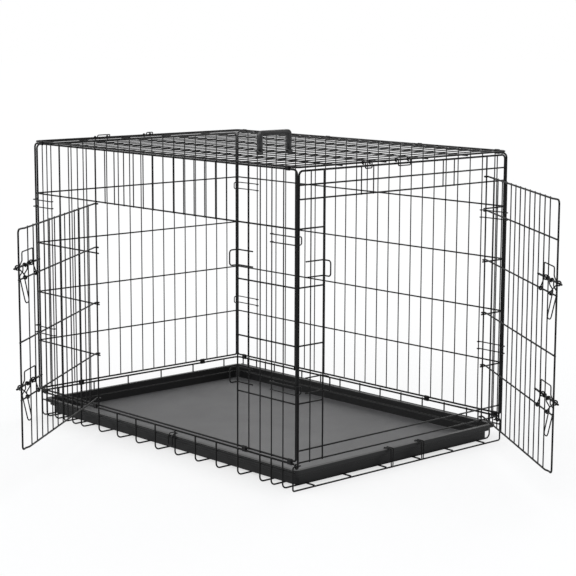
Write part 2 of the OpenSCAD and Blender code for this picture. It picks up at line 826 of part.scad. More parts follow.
base_frame();
tray();
front_panel();
back_panel();
left_end_panel();
right_end_panel();
top_panel();
front_door();
end_door();
front_strikers();
end_strikers();
front_guide(0);  // front_upper_guide
front_bolt(0);  // front_upper_bolt
front_handle(0);  // front_upper_handle
front_guide(1);  // front_lower_guide
front_bolt(1);  // front_lower_bolt
front_handle(1);  // front_lower_handle
end_guide(0);  // end_upper_guide
end_bolt(0);  // end_upper_bolt
end_handle(0);  // end_upper_handle
end_guide(1);  // end_lower_guide
end_bolt(1);  // end_lower_bolt
end_handle(1);  // end_lower_handle
right_hook_of_front(hook_high);  // front_right_upper_hook
right_hook_of_front(hook_low);  // front_right_lower_hook
left_hook_of_front(hook_high);  // front_left_upper_hook
left_hook_of_front(hook_low);  // front_left_lower_hook
right_hook_of_back(hook_high);  // back_right_upper_hook
right_hook_of_back(hook_low);  // back_right_lower_hook
left_hook_of_back(hook_high);  // back_left_upper_hook
left_hook_of_back(hook_low);  // back_left_lower_hook
hook_at_right(right_wide_y, wide_hook);  // right_wide_top_hook
hook_at_right(right_narrow_y, narrow_hook);  // right_narrow_top_hook
hook_at_left(left_wide_y, wide_hook);  // left_wide_top_hook
hook_at_left(left_narrow_y, narrow_hook);  // left_narrow_top_hook
front_top_clips();
back_top_clips();
front_base_clips();
back_base_clips();
left_end_clips();
tray_clip(-half_y + tray_clip_marks[0] * short_pitch);  // tray_clip_front
tray_clip(-half_y + tray_clip_marks[1] * short_pitch);  // tray_clip_back
tray_finger_stop();
carry_handle();
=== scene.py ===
import json
import math

import bmesh
import bpy
from mathutils import Matrix, Vector


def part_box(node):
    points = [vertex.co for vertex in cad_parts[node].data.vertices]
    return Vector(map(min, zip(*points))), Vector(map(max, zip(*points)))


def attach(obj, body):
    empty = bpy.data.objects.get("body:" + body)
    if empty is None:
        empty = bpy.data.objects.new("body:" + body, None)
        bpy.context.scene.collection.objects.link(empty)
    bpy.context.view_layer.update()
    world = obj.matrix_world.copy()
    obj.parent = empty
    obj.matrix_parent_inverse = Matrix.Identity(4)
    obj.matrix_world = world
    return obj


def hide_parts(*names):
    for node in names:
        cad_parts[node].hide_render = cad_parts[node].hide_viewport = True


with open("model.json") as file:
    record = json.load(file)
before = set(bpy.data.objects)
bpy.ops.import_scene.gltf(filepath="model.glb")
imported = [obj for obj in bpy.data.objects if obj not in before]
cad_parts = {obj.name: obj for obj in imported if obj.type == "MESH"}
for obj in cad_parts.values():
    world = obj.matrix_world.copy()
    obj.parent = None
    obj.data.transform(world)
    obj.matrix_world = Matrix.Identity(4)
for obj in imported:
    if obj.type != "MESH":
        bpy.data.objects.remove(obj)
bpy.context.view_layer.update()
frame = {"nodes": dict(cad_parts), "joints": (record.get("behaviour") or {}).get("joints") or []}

# A folding wire dog crate: welded wire panels on a wire base, two doors that
# stand open, slide bolts, corner hooks, a plastic tray and a carry handle.
# Metres. X runs along the long side, the front door is on -Y, Z is up.

MM = 0.001

# Crate
LENGTH = 1061 * MM
WIDTH = 734 * MM
PANEL = 687 * MM
BASE_Z = 75 * MM
LONG_SPACES = 26
BACK_SPACES = 25
SHORT_SPACES = 18
LEVELS = 5
HALF_X = LENGTH / 2
HALF_Y = WIDTH / 2
LONG = LENGTH / LONG_SPACES
SHORT = WIDTH / SHORT_SPACES
BACK_PITCH = LENGTH / BACK_SPACES
LEVEL = PANEL / LEVELS

# Wire radii
FRAME = 2.5 * MM
RAIL = 2.0 * MM
THIN = 1.5 * MM
JAMB = 2.0 * MM
DOOR = 2.25 * MM
BASE = 2.0 * MM
HOOK = 1.5 * MM
STRIKER = 1.75 * MM
GUIDE = 1.55 * MM
WELD = 0.05 * MM
EYE = 0.3 * MM

# Layers of a panel, outwards from its frame's plane
RAIL_LAYER = FRAME - RAIL
BAR_LAYER = FRAME + WELD + THIN
JAMB_LAYER = FRAME + WELD + JAMB

PANEL_CORNER = 11 * MM
FOOT_CORNER = 6 * MM
TOP_CORNER = 14 * MM
TOP_Z = BASE_Z + PANEL + 2 * FRAME + 0.3 * MM
END_INSET = 2 * FRAME + 1.5 * MM
END_HEIGHT = PANEL - 2 * HOOK - EYE - 0.2 * MM
HEADER = 4 * LEVEL
END_HEADER = PANEL - 69 * MM
END_TOP_RAIL = PANEL - 36 * MM
SILL = 24 * MM
END_DROP = 5 * MM
OVER_DOOR_BARS = (5, 6, 12, 13)
OVERRUN = 2 * MM
FRONT_LATCH, FRONT_HINGE = 5, 19
END_LATCH, END_HINGE = 2, 16

# Welds as shares of a wire's radius: at a crossing, at an end on a post, at an end on the top
# panel's frame. Their height is a share of their width
CROSS_WELD = 0.86
END_WELD = 0.9
TOP_WELD = 0.95
WELD_HEIGHT = 0.62

# Base. The marks count spaces: cross wires from the right end, long wires from the front
RIM_Z = BASE_Z - 8 * MM
MID_RAIL_Z = 46 * MM
PIN_Z = BASE_Z - END_DROP - FRAME - BASE - 5 * MM
PIN_EYE = BASE + EYE + FRAME
PIN_X = HALF_X - PIN_EYE
RISER_Y = HALF_Y + FRAME + BASE + WELD
LONG_Z = 3 * BASE + WELD
BASE_CORNER = 16 * MM
BASE_BEND = 12 * MM
PIN_LENGTH = 22 * MM
PIN_BEND = 5 * MM
CROSS_MARKS = (1, 2, 3, *range(5, 22, 2), 22, 23, 24, 25)
LONG_MARKS = (1.5, 4.5, 7.5, 10.5, 13.5, 16.5)

# Doors: along from the hinge post, up, and outwards
DOOR_BARS = 13
LATCH_SPACE = 1.6
DOOR_CORNER = 9 * MM
SHORT_OF_JAMB = 12 * MM
JOG_START, JOG_END = 34 * MM, 20 * MM
OVERHANG = 16 * MM
FRONT_DOOR = (FRONT_HINGE - FRONT_LATCH) * LONG - SHORT_OF_JAMB
END_DOOR = (END_HINGE - END_LATCH) * SHORT - SHORT_OF_JAMB
DOOR_LAYER = JAMB + EYE + DOOR
DOOR_FACE = DOOR_LAYER + DOOR
DOOR_BAR_LAYER = DOOR_FACE + WELD + THIN
FREE_POST_LAYER = DOOR_FACE + WELD + DOOR
MID_RAIL_LAYER = DOOR_FACE - RAIL
BOLT = 2.5 * MM
BOLT_LAYER = DOOR_BAR_LAYER + THIN + 0.4 * MM + 2 * HOOK + EYE + BOLT
GUIDE_LAYER = DOOR_BAR_LAYER + THIN + WELD + STRIKER
DOOR_SHIFT = 5.5 * MM
FRONT_RAILS = (
    20 * MM, LEVEL + DOOR_SHIFT, 2 * LEVEL + DOOR_SHIFT, 3 * LEVEL + 16 * MM, HEADER - DOOR_SHIFT,
)
END_RAILS = (
    END_DROP, LEVEL + DOOR_SHIFT, 2 * LEVEL + DOOR_SHIFT, 3 * LEVEL + DOOR_SHIFT,
    HEADER - DOOR_SHIFT, END_HEADER + 14 * MM,
)

# Latches: each sits on a middle rail of its door. Places run back from the free post
LATCH_RAILS = (("upper", 3), ("lower", 1))
LATCH_RISE = 25 * MM
GUIDE_END = 9 * MM
GUIDE_SHOULDER = 29 * MM
HANDLE_BACK = 72.75 * MM
HANDLE_WIDTH = 30 * MM
HANDLE_DROP = 92 * MM
STRIKER_GAP = 37 * MM
STRIKER_REACH = 28 * MM
STRIKER_TAIL = 1.45
BOLT_CLEAR = 2.25 * MM
STRIKER_LIFT = STRIKER_GAP / 2 - STRIKER - BOLT - BOLT_CLEAR

# Hooks: heights of the corner hooks on their panels, and widths of the top hooks
HOOK_HEIGHTS = (("upper", 523 * MM), ("lower", 171 * MM))
WIDE_HOOK, NARROW_HOOK = 42 * MM, 22 * MM

# Tray
TRAY_Z = LONG_Z + BASE + 0.3 * MM
TRAY_TOP = TRAY_Z + 40 * MM
TRAY_RIGHT = HALF_X - 8 * MM
TRAY_CORNER = 12 * MM
TRAY_EDGE = 1 * MM
# From the underside, over the rim and down to the floor: inset and height in millimetres
TRAY_PROFILE = (
    (17, 0), (17, 21.4), (9, 21.4), (9, 37.4), (2.6, 37.4), (2.6, 31), (0, 31),
    (0, 40), (11.6, 40), (11.6, 24), (19.6, 24), (19.6, 2.6),
)

# Carry handle
GRIP_WIDTH, GRIP_HEIGHT = 110 * MM, 56 * MM
GRIP_THICK, GRIP_DEEP = 11 * MM, 13 * MM
GRIP_LENGTH = 116 * MM - 34 * MM
LEG_LOW = 3 * MM
LEG_BEND = 7 * MM
SHOE_RADIUS, SHOE_BORE = 6 * MM, 1.6 * MM
SHOE_LENGTH = 15 * MM
SHOE_OUT = 58 * MM

X, Y, Z = Vector((1, 0, 0)), Vector((0, 1, 0)), Vector((0, 0, 1))
EYE_TURN = math.radians(262)
SIDES = 12
JOINTS = {joint["name"]: joint for joint in frame["joints"]}


# ------------------------------------------------------------------ finishes

def node_material(name, base, roughness, specular):
    """Plain coated material whose nodes the finishes below add to."""
    material = bpy.data.materials.new(name)
    material.use_nodes = True
    shader = material.node_tree.nodes["Principled BSDF"]
    shader.inputs["Base Color"].default_value = (*base, 1)
    shader.inputs["Roughness"].default_value = roughness
    shader.inputs["Specular IOR Level"].default_value = specular
    return material, shader


def noise(tree, scale, detail):
    """Noise texture on Object coordinates."""
    coords = tree.nodes.new("ShaderNodeTexCoord")
    texture = tree.nodes.new("ShaderNodeTexNoise")
    texture.inputs["Scale"].default_value = scale
    texture.inputs["Detail"].default_value = detail
    texture.inputs["Roughness"].default_value = 0.55
    tree.links.new(coords.outputs["Object"], texture.inputs["Vector"])
    return texture


def ramp(tree, source, stops):
    """Colour ramp from (position, grey or colour) stops."""
    node = tree.nodes.new("ShaderNodeValToRGB")
    elements = node.color_ramp.elements
    while len(elements) < len(stops):
        elements.new(0.5)
    for element, (place, colour) in zip(elements, stops):
        element.position = place
        element.color = (*colour, 1) if hasattr(colour, "__len__") else (colour, colour, colour, 1)
    tree.links.new(source, node.inputs["Fac"])
    return node.outputs["Color"]


def bump(tree, shader, height, strength, distance):
    """Bump from a height into the shader's normal."""
    node = tree.nodes.new("ShaderNodeBump")
    node.inputs["Strength"].default_value = strength
    node.inputs["Distance"].default_value = distance
    tree.links.new(height, node.inputs["Height"])
    tree.links.new(node.outputs["Normal"], shader.inputs["Normal"])


def black_coating(name, base, roughness, worn):
    """Baked black coating on steel wire: faint flow marks, and rubbed spots where worn."""
    material, shader = node_material(name, (base, base, base * 1.04), roughness, 0.14)
    tree = material.node_tree
    broad = noise(tree, 34, 4)
    tint = ramp(tree, broad.outputs["Fac"], [
        (0.3, (base * 0.75, base * 0.75, base * 0.78)),
        (0.7, (base * 1.3, base * 1.3, base * 1.36)),
        (0.86, (base + worn, base + worn, base + worn)),
    ])
    tree.links.new(tint, shader.inputs["Base Color"])
    gloss = ramp(tree, broad.outputs["Fac"], [(0.25, roughness - 0.07), (0.75, roughness + 0.1)])
    tree.links.new(gloss, shader.inputs["Roughness"])
    fine = noise(tree, 900, 2)
    bump(tree, shader, fine.outputs["Fac"], 0.25, 0.0002)
    return material


def moulded(name, base, roughness, grain_scale, grain, lift, specular=0.5):
    """Moulded plastic with a pebbled grain and slight cloudiness."""
    material, shader = node_material(name, base, roughness, specular)
    tree = material.node_tree
    cloud = noise(tree, 7, 5)
    low = [c * 0.86 for c in base]
    high = [c * 1.14 + lift for c in base]
    tint = ramp(tree, cloud.outputs["Fac"], [(0.3, low), (0.7, high)])
    tree.links.new(tint, shader.inputs["Base Color"])
    coords = tree.nodes.new("ShaderNodeTexCoord")
    pebble = tree.nodes.new("ShaderNodeTexVoronoi")
    pebble.feature = "SMOOTH_F1"
    pebble.inputs["Scale"].default_value = grain_scale
    tree.links.new(coords.outputs["Object"], pebble.inputs["Vector"])
    bump(tree, shader, pebble.outputs["Distance"], grain, 0.0004)
    return material


WIRE = black_coating("black_wire_coating", 0.004, 0.42, 0.002)
WORN = black_coating("handled_wire_coating", 0.005, 0.38, 0.012)
STRIP = black_coating("folded_strip_coating", 0.005, 0.45, 0.006)
TRAY_RIM = moulded("tray_rim_plastic", (0.008, 0.008, 0.0083), 0.42, 900, 0.12, 0.001, 0.27)
# Tray floor: the rim's black plastic with its base colour raised to a mid grey, which is painted sheen for
# light glancing off the pebbled grain
TRAY_FLOOR_PAINTED_SHEEN = moulded("tray_floor_painted_sheen", (0.057, 0.057, 0.0582), 0.5, 620, 0.5, 0.005, 0.4)
GRIP = moulded("grip_plastic", (0.0082, 0.0082, 0.0087), 0.4, 1100, 0.2, 0.001)


# ------------------------------------------------------------- shaping wires

def place_at(origin, u, v, w=None):
    """Frame whose columns are the directions u, v and w, standing at origin."""
    u, v = Vector(u), Vector(v)
    w = Vector(w) if w else u.cross(v)
    matrix = Matrix((u, v, w)).transposed().to_4x4()
    matrix.translation = Vector(origin)
    return matrix


def facing(direction):
    """Turn that points Z along a direction."""
    return direction.to_track_quat("Z", "Y").to_matrix().to_4x4()


def wire_end(part, centre, heading, radius):
    """Open round end of a wire in an empty bmesh, as its edges."""
    bmesh.ops.create_circle(
        part, segments=SIDES, radius=radius, matrix=Matrix.Translation(centre) @ facing(heading))
    return part.edges[:]


def close_seam(part, radius):
    """Joins the two ends of a closed wire."""
    bmesh.ops.remove_doubles(part, verts=part.verts, dist=radius * 0.02)


class Piece:
    """One visible piece, collected from closed lengths of wire drawn in a local frame."""

    def __init__(self, name, place=None):
        self.name = name
        self.place = place or Matrix()
        self.mesh = bmesh.new()

    def take(self, part):
        """Adds a finished bmesh and frees it."""
        bmesh.ops.recalc_face_normals(part, faces=part.faces)
        data = bpy.data.meshes.new("part")
        part.to_mesh(data)
        self.mesh.from_mesh(data)
        bpy.data.meshes.remove(data)
        part.free()

    def wire(self, points, radius, bend=0.0, eyes=(None, None)):
        """Round wire through the points with bent corners.

        An eye is (centre, x, y, radius), curled from x to y.
        """
        points = [Vector(point) for point in points]
        headings = [(b - a).normalized() for a, b in zip(points, points[1:])]
        part = bmesh.new()
        start, heading = points[0], headings[0]
        if eyes[0]:
            centre, x, y, r = eyes[0]
            start = centre + r * (math.cos(EYE_TURN) * x + math.sin(EYE_TURN) * y)
            heading = math.sin(EYE_TURN) * x - math.cos(EYE_TURN) * y
        first = wire_end(part, start, heading, radius)
        last = first
        if eyes[0]:
            last = self.spin(part, last, centre, y.cross(x), EYE_TURN)
        here = points[0]
        for i, heading in enumerate(headings):
            corner = points[i + 1]
            if i + 1 == len(headings):
                last = self.run(part, last, corner - here)
                continue
            after = headings[i + 1]
            turn = heading.angle(after)
            cut = bend * math.tan(turn / 2)
            last = self.run(part, last, corner - heading * cut - here)
            centre = corner + (after - heading).normalized() * bend / math.cos(turn / 2)
            last = self.spin(part, last, centre, heading.cross(after).normalized(), turn)
            here = corner + after * cut
        if eyes[1]:
            centre, x, y, r = eyes[1]
            last = self.spin(part, last, centre, x.cross(y), EYE_TURN)
        for edges in (first, last):
            cap = bmesh.ops.contextual_create(part, geom=edges)["faces"]
            rim = [edge for face in cap for edge in face.edges]
            bmesh.ops.bevel(
                part, geom=rim, offset=radius * 0.35, offset_type="OFFSET", segments=2,
                profile=0.5, affect="EDGES", material=-1)
        self.take(part)

    def run(self, part, edges, move):
        """Extrudes an open end straight along."""
        made = bmesh.ops.extrude_edge_only(part, edges=edges)["geom"]
        verts = [item for item in made if isinstance(item, bmesh.types.BMVert)]
        bmesh.ops.translate(part, verts=verts, vec=move)
        return [item for item in made if isinstance(item, bmesh.types.BMEdge)]

    def spin(self, part, edges, centre, axis, angle):
        """Bends an open end round an axis."""
        steps = max(2, math.ceil(math.degrees(angle) / 15))
        verts = list(dict.fromkeys(vert for edge in edges for vert in edge.verts))
        made = bmesh.ops.spin(
            part, geom=verts + edges, cent=centre, axis=axis, dvec=(0, 0, 0), angle=angle,
            steps=steps, use_merge=False, use_normal_flip=False, use_duplicate=False)
        return [item for item in made["geom_last"] if isinstance(item, bmesh.types.BMEdge)]

    def ring(self, centre, axis, r, radius):
        """Closed ring of wire about an axis."""
        side = axis.orthogonal().normalized()
        part = bmesh.new()
        edges = wire_end(part, centre + side * r, axis.cross(side), radius)
        bmesh.ops.spin(
            part, geom=part.verts[:] + edges, cent=centre, axis=axis, dvec=(0, 0, 0),
            angle=math.tau, steps=24, use_merge=True, use_normal_flip=False, use_duplicate=False)
        close_seam(part, radius)
        self.take(part)

    def weld(self, point, radius, normal=Z):
        """Fused spot where two wires cross."""
        flat = Matrix.Diagonal((1, 1, WELD_HEIGHT, 1))
        bmesh.ops.create_uvsphere(
            self.mesh, u_segments=8, v_segments=5, radius=radius,
            matrix=Matrix.Translation(point) @ facing(normal) @ flat)

    def finish(self, body, material, nodes):
        """Turns the collected mesh into the object that stands for the CAD nodes."""
        bmesh.ops.transform(self.mesh, matrix=self.place, verts=self.mesh.verts)
        if self.place.determinant() < 0:
            bmesh.ops.reverse_faces(self.mesh, faces=self.mesh.faces)
        for face in self.mesh.faces:
            face.smooth = len(face.verts) <= 4
        data = bpy.data.meshes.new(self.name)
        self.mesh.to_mesh(data)
        self.mesh.free()
        for one in material if isinstance(material, (list, tuple)) else [material]:
            data.materials.append(one)
        piece = bpy.data.objects.new(self.name, data)
        bpy.context.scene.collection.objects.link(piece)
        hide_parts(*nodes)
        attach(piece, body)
        return piece


def upright(piece, u, low, high, radius, layer, crossed):
    """Vertical wire of a panel, welded to the rails at the heights in crossed."""
    piece.wire([(u, low, layer), (u, high, layer)], radius)
    for v in crossed:
        piece.weld((u, v, layer - radius), radius * CROSS_WELD)


def rail(piece, v, start, end, layer=RAIL_LAYER):
    """Horizontal wire of a panel."""
    piece.wire([(start, v, layer), (end, v, layer)], RAIL)


def rail_welds(piece, v, ends, layer=RAIL_LAYER):
    """Fused spots where the ends of a rail meet the panel's posts."""
    for u in ends:
        piece.weld((u, v, layer / 2), RAIL * END_WELD, X)


def outline(piece, width, height, foot, head, left=0.0):
    """Closed frame of a panel: square-ish feet and rounder upper corners."""
    points = [(left, 0, 0), (left + width, 0, 0), (left + width, height, 0), (left, height, 0)]
    part = bmesh.new()
    start = Vector(((left + left + width) / 2, 0, 0))
    edges = wire_end(part, start, X, FRAME)
    here = start
    for i, bend in ((1, foot), (2, head), (3, head), (0, foot)):
        corner = Vector(points[i])
        before = (corner - Vector(points[i - 1])).normalized()
        after = (Vector(points[(i + 1) % 4]) - corner).normalized()
        edges = piece.run(part, edges, corner - before * bend - here)
        edges = piece.spin(part, edges, corner + (after - before) * bend, Z, math.pi / 2)
        here = corner + after * bend
    piece.run(part, edges, start - here)
    close_seam(part, FRAME)
    piece.take(part)


# -------------------------------------------------------------------- panels

FRONT = place_at((-HALF_X, -HALF_Y, BASE_Z), X, Z)
BACK = place_at((HALF_X, HALF_Y, BASE_Z), -X, Z)
RIGHT = place_at((HALF_X, -HALF_Y, BASE_Z), Y, Z)
LEFT = place_at((-HALF_X, HALF_Y, BASE_Z), -Y, Z)
TOP = place_at((-HALF_X, -HALF_Y, TOP_Z), X, Y)


def plain_panel(name, body, place, length, height, spaces, inset=0.0):
    """Panel with an upright at every space and a rail at every level."""
    piece = Piece(name + "_wires", place)
    outline(piece, length - 2 * inset, height, FOOT_CORNER, PANEL_CORNER, inset)
    start = inset + FRAME + WELD
    levels = [i * LEVEL for i in range(1, LEVELS)]
    for v in levels:
        rail(piece, v, start, length - start)
        rail_welds(piece, v, (start, length - start))
    crossed = [0, *levels, height]
    for i in range(1, spaces):
        upright(piece, i * length / spaces, -FRAME, height + FRAME, THIN, BAR_LAYER, crossed)
    piece.finish(body, WIRE, [name])


def front_panel():
    """Panel with the front doorway cut out of its middle."""
    piece = Piece("front_panel_wires", FRONT)
    outline(piece, LENGTH, PANEL, FOOT_CORNER, PANEL_CORNER)
    start = FRAME + WELD
    latch = LENGTH - FRONT_LATCH * LONG
    hinge = LENGTH - FRONT_HINGE * LONG
    stub = JAMB + OVERRUN
    rail(piece, HEADER, start, LENGTH - start)
    for i in range(1, LEVELS - 1):
        rail(piece, i * LEVEL, start, hinge + stub)
        rail(piece, i * LEVEL, latch - stub, LENGTH - start)
    for i in range(1, LEVELS):
        rail_welds(piece, i * LEVEL, (start, LENGTH - start))
    everywhere = [0, LEVEL, 2 * LEVEL, 3 * LEVEL, HEADER, PANEL]
    for u in (latch, hinge):
        upright(piece, u, -FRAME, PANEL + FRAME, JAMB, JAMB_LAYER, everywhere)
    for i in range(1, LONG_SPACES):
        from_right = LONG_SPACES - i
        if from_right in (FRONT_LATCH, FRONT_HINGE):
            continue
        over_door = FRONT_LATCH < from_right < FRONT_HINGE
        low = HEADER - RAIL if over_door else -FRAME
        crossed = [v for v in everywhere if v >= low]
        upright(piece, i * LONG, low, PANEL + FRAME, THIN, BAR_LAYER, crossed)
    piece.finish("root", WIRE, ["front_panel"])


def right_end_panel():
    """End panel with a doorway. Its posts' feet are curled round the base's pins."""
    piece = Piece("right_end_panel_wires", RIGHT)
    left, right = END_INSET, WIDTH - END_INSET
    start, end = left + FRAME + WELD, right - FRAME - WELD
    latch, hinge = END_LATCH * SHORT, END_HINGE * SHORT
    stub = JAMB + OVERRUN
    eye_v = PIN_Z - BASE_Z
    eyes = [(Vector((u, eye_v, -PIN_EYE)), Z, -Y, PIN_EYE) for u in (left, right)]
    piece.wire(
        [(left, eye_v, 0), (left, END_HEIGHT, 0), (right, END_HEIGHT, 0), (right, eye_v, 0)],
        FRAME, PANEL_CORNER, eyes)
    full = [-END_DROP, SILL, END_HEADER, END_TOP_RAIL]
    for v in full:
        rail(piece, v, start, end)
    levels = [i * LEVEL for i in range(1, LEVELS)]
    for v in levels:
        rail(piece, v, start, latch + stub)
        rail(piece, v, hinge - stub, end)
    for v in (*full, *levels):
        rail_welds(piece, v, (start, end))
    tall = [*full, *levels, END_HEIGHT]
    for u in (latch, hinge):
        upright(piece, u, -END_DROP - RAIL, END_HEIGHT + FRAME, JAMB, JAMB_LAYER, tall)
    for i in (1, SHORT_SPACES - 1):
        upright(piece, i * SHORT, -END_DROP - RAIL, END_HEIGHT + FRAME, THIN, BAR_LAYER, tall)
    short = [END_HEADER, END_TOP_RAIL, END_HEIGHT]
    for i in OVER_DOOR_BARS:
        upright(piece, i * SHORT, END_HEADER - RAIL, END_HEIGHT + FRAME, THIN, BAR_LAYER, short)
    piece.finish("root", WIRE, ["right_end_panel"])


def top_panel():
    """Top panel: cross wires in the plane of its frame, over long wires."""
    piece = Piece("top_panel_wires", TOP)
    outline(piece, LENGTH, WIDTH, TOP_CORNER, TOP_CORNER)
    start = FRAME + WELD
    rows = [i * WIDTH / LEVELS for i in range(1, LEVELS)]
    under = -THIN - WELD - RAIL
    for v in rows:
        rail(piece, v, start, LENGTH - start, under)
        rail_welds(piece, v, (start, LENGTH - start), under)
    for i in range(1, LONG_SPACES):
        upright(piece, i * LONG, start, WIDTH - start, THIN, 0, rows)
        for v in (start, WIDTH - start):
            piece.weld((i * LONG, v, 0), THIN * TOP_WELD, Y)
    piece.finish("root", WIRE, ["top_panel"])


# ---------------------------------------------------------------------- base

def base_frame():
    """Wire basket that the tray slides into."""
    piece = Piece("base_basket")
    end = PIN_X - BASE - WELD
    wire_stop = PIN_X + BASE + OVERRUN
    piece.wire(
        [(end, -HALF_Y, RIM_Z), (-HALF_X, -HALF_Y, RIM_Z), (-HALF_X, HALF_Y, RIM_Z), (end, HALF_Y, RIM_Z)],
        FRAME, BASE_CORNER)
    for y in (-HALF_Y, HALF_Y):
        piece.wire([(-HALF_X + BASE_CORNER, y, MID_RAIL_Z), (wire_stop, y, MID_RAIL_Z)], BASE)
    across = [HALF_X - mark * LONG for mark in CROSS_MARKS]
    across.append(-HALF_X + BASE_CORNER + BASE + 1 * MM)
    rows = [-HALF_Y + mark * SHORT for mark in LONG_MARKS]
    riser_top = RIM_Z + FRAME
    for x in across:
        piece.wire([
            (x, -RISER_Y, riser_top), (x, -RISER_Y, BASE), (x, RISER_Y, BASE), (x, RISER_Y, riser_top),
        ], BASE, BASE_BEND)
        for side in (-1, 1):
            for z, radius in ((RIM_Z, FRAME), (MID_RAIL_Z, BASE)):
                piece.weld((x, side * (HALF_Y + radius), z), BASE * CROSS_WELD, Y)
        for y in rows:
            piece.weld((x, y, 2 * BASE), BASE * CROSS_WELD)
    pin_y = RISER_Y - PIN_LENGTH - FRAME
    piece.wire([
        (PIN_X, -pin_y, PIN_Z), (PIN_X, -RISER_Y, PIN_Z), (PIN_X, -RISER_Y, BASE),
        (PIN_X, RISER_Y, BASE), (PIN_X, RISER_Y, PIN_Z), (PIN_X, pin_y, PIN_Z),
    ], BASE, PIN_BEND)
    rise_x = -HALF_X + FRAME + BASE + WELD
    for y in rows:
        piece.wire(
            [(rise_x, y, riser_top), (rise_x, y, LONG_Z), (wire_stop, y, LONG_Z)], BASE, BASE_BEND)
        piece.weld((PIN_X, y, 2 * BASE), BASE * CROSS_WELD)
        piece.weld((-HALF_X + FRAME, y, RIM_Z), BASE * CROSS_WELD, X)
    piece.finish("root", WIRE, ["base_frame"])


# --------------------------------------------------------------------- doors

def door_place(side):
    """Local frame of an open door: from the hinge post towards the free post, up, and outwards."""
    hinge = JOINTS[f"{side}_door_hinge"]["pos_m"]
    along = Vector(JOINTS[f"{side}_upper_bolt_slide"]["axis"]).normalized()
    outwards = along.cross(Z) if side == "front" else Z.cross(along)
    return place_at((hinge[0], hinge[1], BASE_Z), along, Z, outwards)


def door(name, side, width, rails):
    """Door frame with its hinge eyes, middle rails and bars."""
    piece = Piece(name + "_wires", door_place(side))
    foot, head = rails[0], rails[-1]
    jog, out = width - JOG_START, width - JOG_END
    eyes = [(Vector((0, v, 0)), Z, -X, DOOR_LAYER) for v in (head, foot)]
    piece.wire([
        (0, head, DOOR_LAYER), (jog, head, DOOR_LAYER), (out, head, FREE_POST_LAYER),
        (width, head, FREE_POST_LAYER), (width, foot, FREE_POST_LAYER), (out, foot, FREE_POST_LAYER),
        (jog, foot, DOOR_LAYER), (0, foot, DOOR_LAYER),
    ], DOOR, DOOR_CORNER, eyes)
    for v in rails[1:-1]:
        eye = (Vector((0, v, 0)), Z, -X, MID_RAIL_LAYER)
        end = (width + OVERHANG, v, MID_RAIL_LAYER)
        piece.wire([(0, v, MID_RAIL_LAYER), end], RAIL, 0, (eye, None))
        piece.weld((width, v, DOOR_FACE), DOOR * CROSS_WELD)
    pitch = width / (DOOR_BARS + LATCH_SPACE)
    for i in range(1, DOOR_BARS + 1):
        upright(piece, i * pitch, foot - DOOR, head + DOOR, THIN, DOOR_BAR_LAYER, rails)
    piece.finish(side + "_door", WIRE, [name])


# ------------------------------------------------------------------- latches

def guide(side, level, width, v):
    """Bell-shaped wire guide with two rings for the bolt and two on the rail below."""
    name = f"{side}_{level}_guide"
    pitch = width / (DOOR_BARS + LATCH_SPACE)
    first = (DOOR_BARS - 1) * pitch - THIN - EYE - STRIKER
    piece = Piece(name + "_wires", door_place(side) @ Matrix.Translation((first, v, 0)))
    second = width - GUIDE_END - first
    shoulder = width - GUIDE_SHOULDER - first
    bolt_eye = BOLT + 0.95 * MM + STRIKER
    rail_eye = RAIL + 0.2 * MM + STRIKER
    step = math.sqrt(bolt_eye ** 2 - (BOLT_LAYER - GUIDE_LAYER) ** 2)
    rise, flare, bend = 35 * MM, 14 * MM, 5 * MM
    drop = LATCH_RISE - rail_eye
    for s in (0, second):
        piece.ring(Vector((s, 0, BOLT_LAYER)), X, bolt_eye, STRIKER)
    for s in (0, shoulder):
        piece.ring(Vector((s, -LATCH_RISE, MID_RAIL_LAYER)), X, rail_eye, STRIKER)
    piece.wire([
        (0, step, GUIDE_LAYER), (0, rise, GUIDE_LAYER), (shoulder, rise, GUIDE_LAYER),
        (shoulder, flare, GUIDE_LAYER), (second, step, GUIDE_LAYER),
    ], GUIDE, bend)
    piece.wire([(0, -step, GUIDE_LAYER), (0, -drop, MID_RAIL_LAYER)], GUIDE)
    piece.wire([
        (second, -step, GUIDE_LAYER), (shoulder, -drop * 0.6, GUIDE_LAYER),
        (shoulder, -drop, MID_RAIL_LAYER),
    ], GUIDE, bend)
    piece.finish(side + "_door", WORN, [name])


def latch_handle(side, level, width, v):
    """Wire loop that hangs from the bolt and kinks outwards."""
    name = f"{side}_{level}_handle"
    piece = Piece(
        name + "_wire", door_place(side) @ Matrix.Translation((width - HANDLE_BACK, v, BOLT_LAYER)))
    half = HANDLE_WIDTH / 2
    r = BOLT + EYE + HOOK
    kink, knee, out = -14 * MM, -28 * MM, r + 9 * MM
    tip = half - 2 * MM
    eyes = [(Vector((s, 0, 0)), Z, Y, r) for s in (-half, half)]
    piece.wire([
        (-half, 0, r), (-half, kink, r), (-half, knee, out), (-tip, -HANDLE_DROP, 0),
        (tip, -HANDLE_DROP, 0), (half, knee, out), (half, kink, r), (half, 0, r),
    ], HOOK, 9 * MM, eyes)
    piece.finish(name, WORN, [name])


def strikers(side, place, heights, pitch):
    """Loops that stand out from the latching upright for the bolts."""
    piece = Piece(side + "_striker_wires", place)
    seat = BAR_LAYER - JAMB_LAYER + THIN + WELD + STRIKER
    bend_at = JAMB + 0.25 * MM + STRIKER
    half = STRIKER_GAP / 2
    tail = STRIKER_TAIL * pitch
    for v in heights:
        piece.wire([
            (tail, v + half, seat), (bend_at, v + half, seat), (bend_at, v + half, STRIKER_REACH),
            (bend_at, v - half, STRIKER_REACH), (bend_at, v - half, seat), (tail, v - half, seat),
        ], STRIKER, 7 * MM)
        for s in (-half, half):
            piece.weld((pitch, v + s, seat - STRIKER), STRIKER * END_WELD)
    piece.finish("root", WIRE, [side + "_strikers"])


# --------------------------------------------------------------------- hooks

